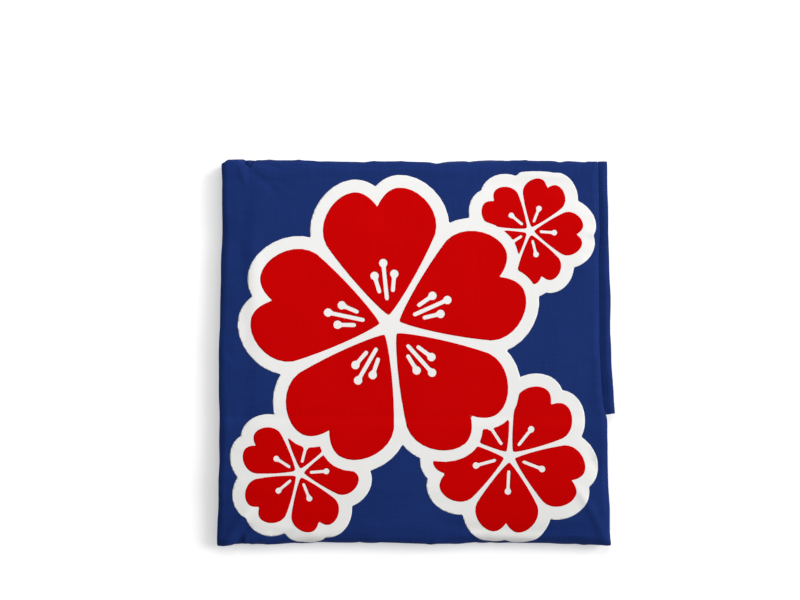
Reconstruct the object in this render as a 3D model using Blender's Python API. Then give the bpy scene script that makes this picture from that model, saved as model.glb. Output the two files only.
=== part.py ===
"""A child's happi coat, folded into a flat square block as it is sold.

The coat lies back up. Its two sides, with the sleeves, are turned under, which makes a strip as wide as
the block. The strip then folds under twice: its shoulder end at the top edge, its skirt end at the bottom
edge. The block rests on its underside, where the black collar shows between those two ends. The folded
belt fills the thinner part below the sleeves.

Frame: +Z up, +X to the right and +Y towards the top of the back as it is read, with the origin at the
middle of the block's footprint.
"""

import math
from collections import namedtuple

import bmesh
import bpy

MM = 0.001

# One modelled layer of cloth, and the clearance to the next piece.
WALL = 1.0 * MM
GAP = 0.3 * MM

# The strip is the back, a front and the side turned under. A sleeve in it is folded over once.
STRIP = 3 * WALL + 2 * GAP
SLEEVE = 2 * WALL + GAP
FRONT_DEPTH = WALL + GAP
SLEEVE_DEPTH = STRIP + GAP

# The folds at the block's bottom and top edges.
BOTTOM_Y = -105.5 * MM
TOP_Y = 105.5 * MM

# Where the strip's two ends stop on the underside, each turned up on itself with a little ease.
SKIRT_END_Y = -16 * MM
SHOULDER_END_Y = 5 * MM
END_EASE = 0.4 * MM
TURN_Y = {"skirt_end": SKIRT_END_Y, "bottom": BOTTOM_Y, "top": TOP_Y, "shoulder_end": SHOULDER_END_Y}

# How much of the sides turned under is modelled, and how far the fronts and sleeves run on underneath.
TURNED_UNDER = 16 * MM
FRONTS_END_Y = 45 * MM
SLEEVES_END_Y = 22 * MM

# The neck opening in the shoulder end, with the collar sewn under its edge.
NECK_HALF_WIDTH = 66 * MM
NECK_DROP = 14 * MM
COLLAR_HALF_WIDTH = 61 * MM
COLLAR_SEWN_UNDER = 8 * MM
COLLAR_STAND = 20.5 * MM
COLLAR_LAYERS = 2

# The fronts meet at the middle and stop short of the neck. The sleeves hang to a hem across the face.
FRONT_OPENING = 2 * MM
SLEEVE_HEM_Y = -33 * MM
SLEEVES_APART = 3 * MM

# The belt, folded to a flat bundle below the sleeves, and set back from the side folds.
BELT_WIDTH = 40 * MM
BELT_Y = SLEEVE_HEM_Y - 3 * MM - BELT_WIDTH / 2
BELT_SET_BACK = 6 * MM
BELT_LAYERS = 3

# The skirt's other layers share one body between the strip's two runs.
SKIRT_LAYERS = 3
SKIRT_LAYERS_BOTTOM_Y = -96 * MM
SKIRT_LAYERS_TOP_Y = SHOULDER_END_Y - 2 * MM
SKIRT_LAYERS_SET_BACK = 2 * MM

# A folded layer inside a slab, how far the slab draws in between layers, and its corners in plan.
LAYER = 0.8 * MM
ROUNDING = 0.3 * MM
PLAN_CORNER = 6 * MM

# The rows nearest the bottom and top folds, in the outline below, and the last one under the skirt end.
LOWEST_ROW = -98 * MM
HIGHEST_ROW = 98 * MM
SKIRT_END_ROW = -33 * MM

# Down the block: side folds of the strip, folds of the sleeves, and the block's height at the side folds.
Outline = namedtuple("Outline", "y left right sleeve_left sleeve_right height")
OUTLINE = (
    Outline(-105.5, -108.75, 105.85, -107.2, 108.75, 10.6),
    Outline(-98, -108.7, 105.7, -107.1, 108.75, 10.9),
    Outline(-76, -108.5, 105.2, -107.0, 108.75, 12.9),
    Outline(-33, -108.2, 103.6, -106.8, 108.75, 12.9),
    Outline(-12, -108.0, 101.6, -106.6, 107.2, 12.9),
    Outline(22, -108.0, 100.6, -106.5, 106.6, 12.9),
    Outline(45, -108.0, 100.6, -106.5, 106.4, 12.9),
    Outline(68, -108.1, 100.7, -106.6, 106.1, 13.0),
    Outline(98, -108.15, 100.9, -106.7, 105.8, 13.4),
    Outline(105.5, -108.15, 100.95, -106.7, 105.75, 13.4),
)

# Inwards from a side fold: the crown, the hollow of the bottom edge, and the drop of the top left corner.
Inward = namedtuple("Inward", "inset crown hollow corner")
INWARD = (
    Inward(0, 0.0, 0.0, 1.5),
    Inward(8, 0.6, 0.6, 0.0),
    Inward(16, 1.0, 1.1, 0.0),
    Inward(28, 1.3, 1.3, 0.0),
)

# Columns of points across the flat middle, which also shape the neck.
MIDDLE = (-66, -62, -46, -28, -9, 9, 28, 46, 62, 66)

# A column of points runs down both skins of a cloth: the edge it is measured from, then how far inwards
# from that edge and how deep in the strip it is on each skin.
Column = namedtuple("Column", "edge inset depth inner_inset inner_depth")
# A row of points runs across it: the stretch of the strip it is on, and its y or its share of a turn.
Row = namedtuple("Row", "stretch at")

# Name, colour and roughness of the two cloths.
BLUE = ("blue_cloth", (0.016, 0.042, 0.19), 0.5)
BLACK = ("black_cloth", (0.012, 0.012, 0.014), 0.7)

# Steps round each kind of turn.
SIDE_STEPS = 5
EDGE_STEPS = 7
END_STEPS = 3
CORNER_STEPS = 4
COLLAR_STEPS = 14


def clear_scene():
    for obj in list(bpy.data.objects):
        bpy.data.objects.remove(obj)


def collection_of(name):
    coll = bpy.data.collections.new(name)
    bpy.context.scene.collection.children.link(coll)
    return coll


def material_of(name, colour, roughness):
    mat = bpy.data.materials.get(name) or bpy.data.materials.new(name)
    mat.use_nodes = True
    shader = mat.node_tree.nodes["Principled BSDF"]
    shader.inputs["Base Color"].default_value = (*colour, 1.0)
    shader.inputs["Roughness"].default_value = roughness
    shader.inputs["Metallic"].default_value = 0.0
    return mat


def mix(a, b, t):
    return a + (b - a) * t


def read_table(table, key, value, at):
    """A table's value column at a place in its key column, on straight lines between rows, in metres."""
    at = at / MM
    for low, high in zip(table, table[1:]):
        start, end = getattr(low, key), getattr(high, key)
        if at <= end:
            t = max(0.0, (at - start) / (end - start))
            return mix(getattr(low, value), getattr(high, value), t) * MM
    return getattr(table[-1], value) * MM


def outline(name, y):
    return read_table(OUTLINE, "y", name, y)


def inward(name, inset):
    return read_table(INWARD, "inset", name, max(0.0, inset))


def side_inset(x, y):
    """How far inside the nearer side fold a point is."""
    return min(x - outline("left", y), outline("right", y) - x)


def block_height(x, y):
    return outline("height", y) + inward("crown", side_inset(x, y))


def bottom_edge(x):
    """The bottom fold in plan, hollow between its two pointed corners."""
    return BOTTOM_Y + inward("hollow", side_inset(x, BOTTOM_Y))


def top_edge(x):
    """The top fold in plan, blunt at its left corner."""
    return TOP_Y - inward("corner", x - outline("left", TOP_Y))


def neck_edge(x):
    """The shoulder end in plan, with the neck opening cut into it."""
    return SHOULDER_END_Y + NECK_DROP * max(0.0, 1 - (x / NECK_HALF_WIDTH) ** 2)


def in_neck(x):
    return abs(x) < NECK_HALF_WIDTH - MM


def strip_point(x, depth, row):
    """Where a layer at that depth inside the folded strip lies, at x on that row."""
    low_radius = block_height(x, BOTTOM_Y) / 2
    high_radius = block_height(x, TOP_Y) / 2
    low_axis = bottom_edge(x) + low_radius
    high_axis = top_edge(x) - high_radius
    turn = STRIP - depth
    angle = math.pi * row.at
    if row.stretch == "skirt_end":
        y = SKIRT_END_Y - STRIP - END_EASE + (turn + END_EASE) * math.sin(angle / 2)
        z = STRIP - turn * math.cos(angle / 2)
    elif row.stretch == "under":
        y, z = row.at, depth
    elif row.stretch == "bottom":
        y = low_axis - (low_radius - depth) * math.sin(angle)
        z = low_radius - (low_radius - depth) * math.cos(angle)
    elif row.stretch == "face":
        y, z = row.at, block_height(x, row.at) - depth
    elif row.stretch == "top":
        y = high_axis + (high_radius - depth) * math.sin(angle)
        z = high_radius + (high_radius - depth) * math.cos(angle)
    elif in_neck(x):
        y = neck_edge(x) + (STRIP + END_EASE) * (1 - math.sin(angle / 2))
        z = depth
    else:
        y = neck_edge(x) + STRIP + END_EASE - (turn + END_EASE) * math.sin(angle / 2)
        z = STRIP - turn * math.cos(angle / 2)
    return x, y, z


def row_y(row):
    """The height in the block that sets where a row's side folds are."""
    return TURN_Y.get(row.stretch, row.at)


def turn_rows(stretch, steps):
    """Rows spaced evenly over a turn."""
    return [Row(stretch, i / steps) for i in range(steps + 1)]


def flat_rows(stretch, low, high):
    """Rows at the outline's own heights, between two limits."""
    return [Row(stretch, o.y * MM) for o in OUTLINE if low <= o.y * MM <= high]


def strip_rows():
    """Rows all the way round the folded strip between its two ends."""
    rows = flat_rows("under", LOWEST_ROW, SKIRT_END_ROW)[::-1]
    rows += turn_rows("bottom", EDGE_STEPS)
    rows += flat_rows("face", LOWEST_ROW, HIGHEST_ROW)
    rows += turn_rows("top", EDGE_STEPS)
    return rows + flat_rows("under", FRONTS_END_Y, HIGHEST_ROW)[::-1]


def side_fold(edge, depth, height, from_above):
    """Columns round a side fold, from its upper layer to its lower one or back."""
    outer, inner = height / 2, height / 2 - WALL
    columns = []
    for step in range(SIDE_STEPS + 1):
        angle = math.pi * step / SIDE_STEPS
        insets = [outer - radius * math.sin(angle) for radius in (outer, inner)]
        depths = [depth + outer - radius * math.cos(angle) for radius in (outer, inner)]
        columns.append(Column(edge, insets[0], depths[0], insets[1], depths[1]))
    return columns if from_above else columns[::-1]


def flat_columns(edge, depth, inner_depth, insets):
    return [Column(edge, inset, depth, inset, inner_depth) for inset in insets]


def side_insets(limit=math.inf):
    """The insets that every layer shares past its side fold, so that the layers nest."""
    return [row.inset * MM for row in INWARD[1:] if row.inset * MM <= limit]


def column_x(edge, inset, y):
    if edge == "middle":
        return inset
    if "left" in edge:
        return outline(edge, y) + inset
    return outline(edge, y) - inset


def place_skin(verts, columns, rows, inner):
    """Move one skin of a cloth, a grid from -1 to 1 each way, to its columns and rows."""
    across, along = len(columns) - 1, len(rows) - 1
    for vert in verts:
        column = columns[round((vert.co.x + 1) / 2 * across)]
        row = rows[round((vert.co.y + 1) / 2 * along)]
        inset, depth = column[3:] if inner else column[1:3]
        vert.co = strip_point(column_x(column.edge, inset, row_y(row)), depth, row)


def cloth(name, columns, rows, finish, collection):
    """A wall of cloth: two skins laid along the folded strip and joined round their rim."""
    bm = bmesh.new()
    bmesh.ops.create_grid(bm, x_segments=len(columns) - 1, y_segments=len(rows) - 1, size=1.0)
    outer = list(bm.verts)
    copied = bmesh.ops.duplicate(bm, geom=bm.faces[:])["geom"]
    inner = [g for g in copied if isinstance(g, bmesh.types.BMVert)]
    bmesh.ops.reverse_faces(bm, faces=[g for g in copied if isinstance(g, bmesh.types.BMFace)])
    place_skin(outer, columns, rows, inner=False)
    place_skin(inner, columns, rows, inner=True)
    bmesh.ops.bridge_loops(bm, edges=[e for e in bm.edges if e.is_boundary])
    return object_of(name, bm, finish, collection)


def object_of(name, bm, finish, collection):
    mesh = bpy.data.meshes.new(name)
    bm.to_mesh(mesh)
    bm.free()
    mesh.materials.append(material_of(*finish))
    mesh.shade_smooth()
    mesh.set_sharp_from_angle(angle=math.radians(40))
    obj = bpy.data.objects.new(name, mesh)
    collection.objects.link(obj)
    return obj


def back_panel(collection):
    """The back, which covers the face and both ends, with its sides turned under all along."""
    turned_under = side_insets(TURNED_UNDER)
    columns = flat_columns("left", STRIP, STRIP - WALL, turned_under[::-1])
    columns += side_fold("left", 0.0, STRIP, from_above=False)
    columns += flat_columns("left", 0.0, WALL, side_insets())
    columns += flat_columns("middle", 0.0, WALL, [x * MM for x in MIDDLE])
    columns += flat_columns("right", 0.0, WALL, side_insets()[::-1])
    columns += side_fold("right", 0.0, STRIP, from_above=True)
    columns += flat_columns("right", STRIP, STRIP - WALL, turned_under)
    rows = turn_rows("skirt_end", END_STEPS)[::-1] + strip_rows() + turn_rows("shoulder_end", END_STEPS)
    cloth("back", columns, rows, BLUE, collection)


def front_panel(name, side, collection):
    """One front, lying flat inside the strip from the opening to the side fold."""
    edge = "left" if side < 0 else "right"
    depths = (FRONT_DEPTH, FRONT_DEPTH + WALL)
    columns = flat_columns(edge, *depths, [STRIP / 2] + side_insets())
    columns += flat_columns("middle", *depths, [side * FRONT_OPENING])
    cloth(name, columns if side < 0 else columns[::-1], strip_rows(), BLUE, collection)


def sleeve(name, side, collection):
    """One sleeve, flattened and folded over once inside the strip, with its fold at the block's side."""
    edge = "left" if side < 0 else "right"
    insets = side_insets() if side < 0 else [0.0] + side_insets()
    legs = []
    for depth, inwards in ((SLEEVE_DEPTH, WALL), (SLEEVE_DEPTH + SLEEVE, -WALL)):
        leg = flat_columns(edge, depth, depth + inwards, insets)
        legs.append(leg + flat_columns("middle", depth, depth + inwards, [side * SLEEVES_APART]))
    upper, lower = legs
    fold = side_fold("sleeve_" + edge, SLEEVE_DEPTH, SLEEVE, from_above=side > 0)
    columns = upper[::-1] + fold + lower if side > 0 else lower[::-1] + fold + upper
    rows = flat_rows("face", SLEEVE_HEM_Y, HIGHEST_ROW) + turn_rows("top", EDGE_STEPS)
    rows += flat_rows("under", SLEEVES_END_Y, HIGHEST_ROW)[::-1]
    cloth(name, columns, rows, BLUE, collection)


def layered_slab(name, plan, low, layers, finish, collection):
    """A rounded slab whose edge shows its folded layers: a plan lofted up, drawn in between the layers."""
    levels = [(low, ROUNDING)]
    for number in range(layers):
        levels += [(low + LAYER * (number + t), 0.0) for t in (0.3, 0.7)]
        levels.append((low + LAYER * (number + 1), ROUNDING))
    bm = bmesh.new()
    rings = [[bm.verts.new((x, y, z)) for x, y in plan(inset)] for z, inset in levels]
    for lower, upper in zip(rings, rings[1:]):
        for i in range(len(lower)):
            bm.faces.new((lower[i - 1], lower[i], upper[i], upper[i - 1]))
    bm.faces.new(rings[0][::-1])
    bm.faces.new(rings[-1])
    return object_of(name, bm, finish, collection)


def quarter(centre_x, centre_y, radius, first_angle):
    """Points round a quarter circle, anticlockwise from its first angle."""
    angles = [first_angle + math.pi / 2 * i / CORNER_STEPS for i in range(CORNER_STEPS + 1)]
    return [(centre_x + radius * math.cos(a), centre_y + radius * math.sin(a)) for a in angles]


def rounded_plan(low, high, set_back, inset):
    """A rectangle with round corners between two heights, its sides set back from the side folds."""
    low, high, back = low + inset, high - inset, set_back + inset
    radius = PLAN_CORNER - inset
    points = quarter(outline("left", low) + back + radius, low + radius, radius, math.pi)
    points += quarter(outline("right", low) - back - radius, low + radius, radius, 1.5 * math.pi)
    between = [o.y * MM for o in OUTLINE if low + PLAN_CORNER < o.y * MM < high - PLAN_CORNER]
    points += [(outline("right", y) - back, y) for y in between]
    points += quarter(outline("right", high) - back - radius, high - radius, radius, 0.0)
    points += quarter(outline("left", high) + back + radius, high - radius, radius, 0.5 * math.pi)
    return points + [(outline("left", y) + back, y) for y in between[::-1]]


def skirt_layers(collection):
    """The rest of the skirt, folded between the strip's two runs."""

    def plan(inset):
        return rounded_plan(SKIRT_LAYERS_BOTTOM_Y, SKIRT_LAYERS_TOP_Y, SKIRT_LAYERS_SET_BACK, inset)

    layered_slab("skirt_layers", plan, STRIP + GAP, SKIRT_LAYERS, BLUE, collection)


def belt(collection):
    """The belt, folded to and fro on the skirt's layers below the sleeves."""

    def plan(inset):
        return rounded_plan(BELT_Y - BELT_WIDTH / 2, BELT_Y + BELT_WIDTH / 2, BELT_SET_BACK, inset)

    low = STRIP + GAP + SKIRT_LAYERS * LAYER + GAP
    layered_slab("belt", plan, low, BELT_LAYERS, BLACK, collection)


def collar(collection):
    """The collar at the back of the neck, a double band sewn under the neck's edge."""

    def plan(inset):
        half = COLLAR_HALF_WIDTH - inset
        xs = [half * math.sin(math.pi / 2 * (2 * i / COLLAR_STEPS - 1)) for i in range(COLLAR_STEPS + 1)]
        arch = [NECK_DROP * (1 - (x / half) ** 2) for x in xs]
        free = [SHOULDER_END_Y - COLLAR_STAND * (1 - (x / half) ** 4) for x in xs]
        sewn = [SHOULDER_END_Y + rise + COLLAR_SEWN_UNDER for rise in arch]
        return [(x, y + inset) for x, y in zip(xs, free)] + [(x, y - inset) for x, y in zip(xs, sewn)][::-1]

    layered_slab("collar", plan, FRONT_DEPTH, COLLAR_LAYERS, BLACK, collection)


def main():
    clear_scene()
    coat = collection_of("folded_happi_coat")
    back_panel(coat)
    front_panel("front_left", -1, coat)
    front_panel("front_right", 1, coat)
    sleeve("sleeve_left", -1, coat)
    sleeve("sleeve_right", 1, coat)
    skirt_layers(coat)
    belt(coat)
    collar(coat)


main()
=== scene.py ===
import math

import bmesh
import bpy
import numpy as np
from mathutils import Matrix, Vector


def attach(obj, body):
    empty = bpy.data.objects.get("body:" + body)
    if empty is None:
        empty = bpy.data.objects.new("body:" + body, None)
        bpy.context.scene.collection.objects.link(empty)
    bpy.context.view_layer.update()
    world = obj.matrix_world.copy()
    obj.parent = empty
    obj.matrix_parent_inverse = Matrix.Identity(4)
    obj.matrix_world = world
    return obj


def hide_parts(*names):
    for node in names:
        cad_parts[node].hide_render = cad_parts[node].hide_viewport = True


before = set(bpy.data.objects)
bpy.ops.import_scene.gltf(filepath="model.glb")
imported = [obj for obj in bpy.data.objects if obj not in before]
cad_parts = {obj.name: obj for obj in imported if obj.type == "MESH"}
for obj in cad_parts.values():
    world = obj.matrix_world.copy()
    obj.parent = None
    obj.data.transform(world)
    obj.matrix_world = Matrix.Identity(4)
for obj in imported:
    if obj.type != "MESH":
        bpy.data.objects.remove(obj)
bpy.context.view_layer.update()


# --------------------
# The back of the coat, one width of smooth blue polyester in a close plain weave. Its two sides are turned
# under, which makes a strip, and the strip is folded under at the bottom and the top edge of the block.

MM = 0.001
EDGE_Y = 105.5 * MM
SKIRT_END_Y, SHOULDER_END_Y = -16 * MM, 5 * MM
STRIP = 3.6 * MM
END_EASE = 0.4 * MM
TURNED_UNDER = 16 * MM
CLOTH = 0.4 * MM
NECK_HALF_WIDTH, NECK_DROP = 66 * MM, 14 * MM
NECK_SIDE = 61 * MM
NECK_STITCH_IN, NECK_PULL, NECK_PULL_REACH = 1.6 * MM, 0.35 * MM, 7 * MM

# Down the block, in mm: side folds of the strip, folds of the sleeves, and height at the side folds.
Y, LEFT, RIGHT, SLEEVE_LEFT, SLEEVE_RIGHT, HEIGHT = range(6)
OUTLINE = MM * np.array([
    (-105.5, -108.6, 105.5, -107.1, 108.9, 10.8),
    (-98, -108.8, 105.2, -107.1, 108.9, 11),
    (-90, -108.9, 104.8, -107.1, 108.9, 12),
    (-76, -108.35, 104.3, -106.8, 108.9, 12.9),
    (-60, -107.8, 104, -106.6, 108.9, 12.9),
    (-35.5, -108.35, 103.7, -107, 108.9, 12.9),
    (-32.5, -108.4, 102.2, -107, 108.8, 12.9),
    (-27, -108.6, 101.4, -107.1, 108.2, 12.9),
    (-12, -108.75, 100.6, -107.1, 107.35, 12.9),
    (10, -108.6, 100.1, -107, 107.1, 12.9),
    (22, -108.5, 100, -107, 107, 12.9),
    (45, -108, 100.2, -106.6, 106.6, 12.9),
    (68, -107.7, 100.4, -106.3, 106.2, 13),
    (98, -107.65, 100.6, -106.2, 105.9, 13.4),
    (105.5, -108.1, 100.7, -106.2, 105.9, 13.4),
])
OUTLINE_EASE = 2.5 * MM
# How far from the middle the end folds start.
FLAT_Y = 99 * MM
CROWN, CROWN_RAMP = 1.3 * MM, 28 * MM
# Across the block, in mm: the lines of its bottom and top edges, which aren't quite straight.
EDGES = MM * np.array([
    (-109.5, -105, 105.6), (-107.6, -104.8, 105.8), (-106.3, -104.6, 106), (-105.7, -104.65, 107),
    (-105.3, -104.7, 108.2), (-104.6, -104.75, 107.7), (-103.5, -104.85, 107.75), (-102, -105.1, 107.85),
    (-100.4, -105.25, 107.7), (-98.7, -105.2, 107.1), (-97, -104.3, 107), (-95.4, -103.3, 106.9),
    (-94.2, -103.5, 107.1), (-92.6, -104.3, 107.1), (-90.6, -104.5, 107.1), (-88.2, -104.15, 107.1),
    (-86.5, -103.7, 107.1), (-84.7, -103.6, 107.1), (-82.5, -104, 107.1), (-78, -103.8, 107),
    (-60, -103.7, 106.9), (-38, -104, 106.9), (-22, -104.3, 106.7), (2, -104, 106.8), (11, -103.8, 106.5),
    (28, -103.7, 106.6), (52, -103.6, 106.9), (67, -103.9, 106.3), (78, -104.2, 106.4),
    (94, -104.4, 106.5), (109, -104.5, 106.8),
])
EDGES_EASE = 0.6 * MM
# Corners drawn out to a point, in mm: where they are in plan, and how far and which way.
CORNERS = MM * np.array([
    (-108.6, -105.7, -1.7, -1.1), (105.5, -105.3, 1.3, -0.8), (100.95, 106.3, 0.2, 0.5),
    (-107.9, 105, -0.8, 0.5), (105.9, 106, 0.6, 0.2),
])
CORNER_REACH = 2.6 * MM
# Form of the folds: 1 is round, more is sharper. The side folds are blunt near the corners.
SIDE_PRESS, CORNER_PRESS, BOTTOM_PRESS, TOP_PRESS = 1.35, 0.65, 1.05, 0.80
CORNER_PRESS_REACH = 9 * MM
# The side folds start this many times their radius in from their edge, which sways up and down.
SIDE_REACH, SIDE_SWAY = 2.4, 0.42 * MM
# How far the end folds sway up and down, and how much their sharpness changes along them.
END_SWAY, END_PRESS_SHIFT = 0.7 * MM, 0.14
# How far a pressed fold wavers along its line, and the share that the strip's thickness varies by.
FOLD_WAVER, STRIP_THINNER = 0.14 * MM, 0.06
# The strength of the short wave along a fold beside the long one.
SHORT_WAVE = 0.6
# How far the side folds wander, how far in that dies away, and the pressed line inside them.
SIDE_WANDER, SIDE_WANDER_REACH = 0.16 * MM, 7 * MM
PRESSED_LINE, PRESSED_LINE_IN, PRESSED_LINE_WIDTH = 0.14 * MM, 2.6 * MM, 1.2 * MM
# Creases end this far round the end folds, fading over this length of cloth, and this deep in.
CREASE_END, CREASE_FADE, CREASE_DEPTH = 118.5 * MM, 6 * MM, 8 * MM
# In from the side folds they rise over this length, from this share of their height.
SIDE_FADE, CREASE_AT_SIDE = 5 * MM, 0.6
# The belt shows through the face as a step, in mm: from, to, lengths of its rise and fall, height.
BELT_SHOWS, BELT_STEP = MM * np.array([-80, -34, 8, 6]), 0.25 * MM
# The sleeves' hems show as a dip: where, half width and depth.
HEM_SHOWS, HEM_HALF_WIDTH, HEM_DIP = -35 * MM, 2.6 * MM, 0.18 * MM
# Creases of the underside, in mm from the middle: from, to, lengths of their rise and fall.
UNDER_RANGE = MM * np.array([20, 94, 8, 6])

# The path round the folded strip: its stages start at whole numbers, at these heights on the block.
SKIRT_END, SKIRT_UNDER, BOTTOM, FACE, TOP, SHOULDER_UNDER, SHOULDER_END = range(7)
PATH_STOPS = (0, 1, 2, 2.5, 3, 4, 4.5, 5, 6, 7)
PATH_LEVELS = MM * np.array([-16, -20, -99, -105.5, -99, 99, 105.5, 99, 9, 5])

# Creases of the face, in mm: from and to, bow to the left, half width, height (a trough's is below 0).
FACE_CREASES = MM * np.array([
    (-87, 104, -89, 4, -2, 5, 0.62), (-97, 70, -95, -52, 2, 4, -0.26), (-86, 98.5, 34, 99.5, 1, 2.4, 0.58),
    (-96.8, 110.6, -92.2, 101.5, 0, 1.2, -2.3), (-90.4, 110.6, -92.9, 101.5, 0, 0.9, -2.4),
    (-93.4, 110, -92.7, 103, 0, 1.7, -1), (-89, 104.5, -62, 105, -1, 1.6, 0.45),
    (-91, 104, -74, 100, 1, 1.5, -0.66), (-93, 101, -74, 84, 1, 2, -0.66),
    (-100, 108, -93, 90, 0, 1.8, 0.5), (-84, 95, -70, 92, 1, 1.8, -0.5), (20, 92, 96, 95, -1, 4, -0.28),
    (89, 94, 91, 10, 2, 4.5, 0.34), (95, 30, 96, -70, -2, 3.6, -0.23),
    (-108, -112, -88, -82, 2, 2.4, 1.05), (-102, -114, -90, -92, 1, 1.8, -1.05),
    (-99, -116, -93, -97, -1, 1.5, 0.8), (-96, -108, -66, -94, -2, 2, -0.75),
    (-88, -115, -80, -96, 1, 1.8, 0.45), (-70, -98, 24, -95, 2, 3, 0.4),
    (-62, -116, -54, -98, 1, 2.2, 0.34), (-34, -112, -30, -99, -1, 1.8, -0.4),
    (4, -114, 14, -98, 1, 1.7, 0.43), (6, -92, 98, -96, -3, 2.8, -0.62),
    (44, -113, 36, -97, 1, 2.2, -0.34), (60, -100, 104, -101, 2, 2, 0.62),
    (104, -108, 84, -70, -2, 2.2, 0.85), (100, -74, 93, -52, -1, 2.4, -0.48), (-60, 74, 8, 52, 5, 9, 0.21),
    (10, 40, 78, 62, -6, 8, -0.18), (-78, -20, -20, 6, 4, 9, -0.2), (-10, -18, 62, -6, 4, 8, 0.2),
    (22, 84, 26, -88, 3, 7, 0.16), (-44, 90, -40, -30, -4, 8, -0.17), (-104, 64, -92, 44, 1, 3, -0.18),
    (-103, 8, -90, 24, -1, 2.6, 0.21), (-104, -40, -88, -28, 1, 3.2, -0.21),
    (-30, 99, 8, 95, 2, 2.6, -0.28), (52, 99, 98, 97, -1, 2.4, 0.31), (70, 92, 99, 78, 2, 3.4, -0.22),
    (84, 52, 99, 40, -1, 3.4, 0.17), (80, 6, 100, 16, 1, 3, -0.18), (86, -26, 102, -22, 0, 2.4, 0.21),
    (84, -40, 102, -52, 1, 3, -0.18), (-18, -84, 28, -80, 2, 4, -0.17), (-40, -99, 6, -97, -1, 2, -0.31),
    (22, -98, 66, -99, 1, 2, 0.31), (-90, -93, -50, -99, 1, 2.2, 0.37), (-99, 60, -97, 88, 1, 3, 0.26),
    (-60, 108, 26, 107, 2, 1.7, -0.53), (10, 112, 92, 110, -1, 1.8, 0.46),
    (-90, 110, -34, 113, 1, 1.8, 0.46), (-76, -107, 8, -109, 2, 2.2, -0.45),
    (-14, -111, 70, -108, 1, 2.1, 0.42), (40, -112, 100, -114, -1, 1.8, -0.5),
    (-100, -111, -44, -113, 1, 1.6, 0.43), (-6, 30, 40, 8, 3, 6, 0.16), (-70, 52, -34, 20, -3, 7, -0.17),
    (-30, -60, 10, -34, 3, 6, -0.16), (38, -40, 86, -70, -3, 6, 0.16),
])
# Creases of the underside, which lift off the surface that the coat rests on.
UNDER_CREASES = MM * np.array([
    (-90, -30, -84, -92, 2, 4, 0.32), (-40, -24, 30, -40, 3, 5, 0.26), (60, -26, 76, -88, -3, 4.4, 0.34),
    (-20, -70, 52, -84, 4, 6, 0.24), (-92, 88, -70, 20, -3, 4.6, 0.34), (-34, 92, 28, 60, 4, 6, 0.28),
    (44, 90, 88, 34, 3, 4.4, 0.32), (-66, 40, -20, 52, -3, 5, 0.22),
])


def by_stage(stage, values):
    """For each point, the value that belongs to its stage."""
    return np.select([stage == number for number in range(len(values))], values)


def near(distance, reach):
    """1 at no distance, and softly down to 0 beyond its reach."""
    return np.exp(-((distance / reach) ** 2))


def small_creases():
    """Rows like the face's for small creases at the folds, drawn by chance, in mm."""
    scatter = np.random.default_rng(11)
    draw = scatter.uniform
    rows = []
    # Across the side folds, from under the block in towards its middle.
    for column, inward in ((LEFT, 1), (RIGHT, -1)):
        for y in np.linspace(-103, 103, 34) + draw(-2.5, 2.5, 34):
            start, run, slant = outline(column, y * MM) / MM - 9 * inward, draw(14, 26), draw(-7, 7)
            rows.append((start, y - slant / 2, start + run * inward, y + slant,
                         draw(-1, 1), draw(1.1, 2.2), scatter.choice((-0.34, -0.22, 0.2, 0.36))))
    for end in (-1, 1):
        # Along the end folds.
        for x in np.linspace(-98, 92, 18) + draw(-5, 5, 18):
            y, run, slant = end * draw(103, 115), draw(8, 34), draw(-4, 4)
            rows.append((x - run / 2, y - slant, x + run / 2, y + slant,
                         draw(-1, 1), draw(1.0, 1.9), scatter.choice((-0.42, -0.26, 0.28, 0.44))))
        # Round the end folds, aslant.
        for x in np.linspace(-101, 95, 13) + draw(-6, 6, 13):
            slant = draw(-16, 16)
            rows.append((x, end * draw(104, 109), x + slant, end * 122,
                         draw(-2, 2), draw(1.3, 2.6), scatter.choice((-0.8, -0.55, 0.5, 0.75))))
    return MM * np.array(rows)


def mix(a, b, t):
    """From a to b as t goes from 0 to 1."""
    return a + (b - a) * t


def eased(t):
    """0 to 1 with level ends."""
    t = np.clip(t, 0.0, 1.0)
    return t * t * (3 - 2 * t)


def between(value, low, high, rise, fall):
    """From 0 at low up to 1 and back to 0 at high, its rise and fall eased."""
    return eased((value - low) / rise) * eased((high - value) / fall)


def outline(column, y):
    """A column of the outline at height y on the block, its corners eased."""
    nudges = np.linspace(-OUTLINE_EASE, OUTLINE_EASE, 7)
    return np.mean([np.interp(y + nudge, OUTLINE[:, Y], OUTLINE[:, column]) for nudge in nudges], axis=0)


def side_inset(x, y):
    """How far inside the nearer side fold."""
    return np.minimum(x - outline(LEFT, y), outline(RIGHT, y) - x)


def block_height(x, y):
    """Height of the face, crowned between the side folds."""
    return outline(HEIGHT, y) + CROWN * np.sin(math.pi / 2 * np.clip(side_inset(x, y) / CROWN_RAMP, 0, 1))


def raised(x, y, creases):
    """How far creases raise a surface, each a soft ridge or trough that fades out at its ends."""
    total = np.zeros(np.broadcast(x, y).shape)
    for x1, y1, x2, y2, bow, width, height in creases:
        length = math.hypot(x2 - x1, y2 - y1)
        along_x, along_y = (x2 - x1) / length, (y2 - y1) / length
        t = np.clip(((x - x1) * along_x + (y - y1) * along_y) / length, 0, 1)
        aside = (y - y1) * along_x - (x - x1) * along_y - bow * np.sin(math.pi * t)
        total = total + height * np.sin(math.pi * t) ** 0.7 * near(aside, width)
    return total


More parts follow.
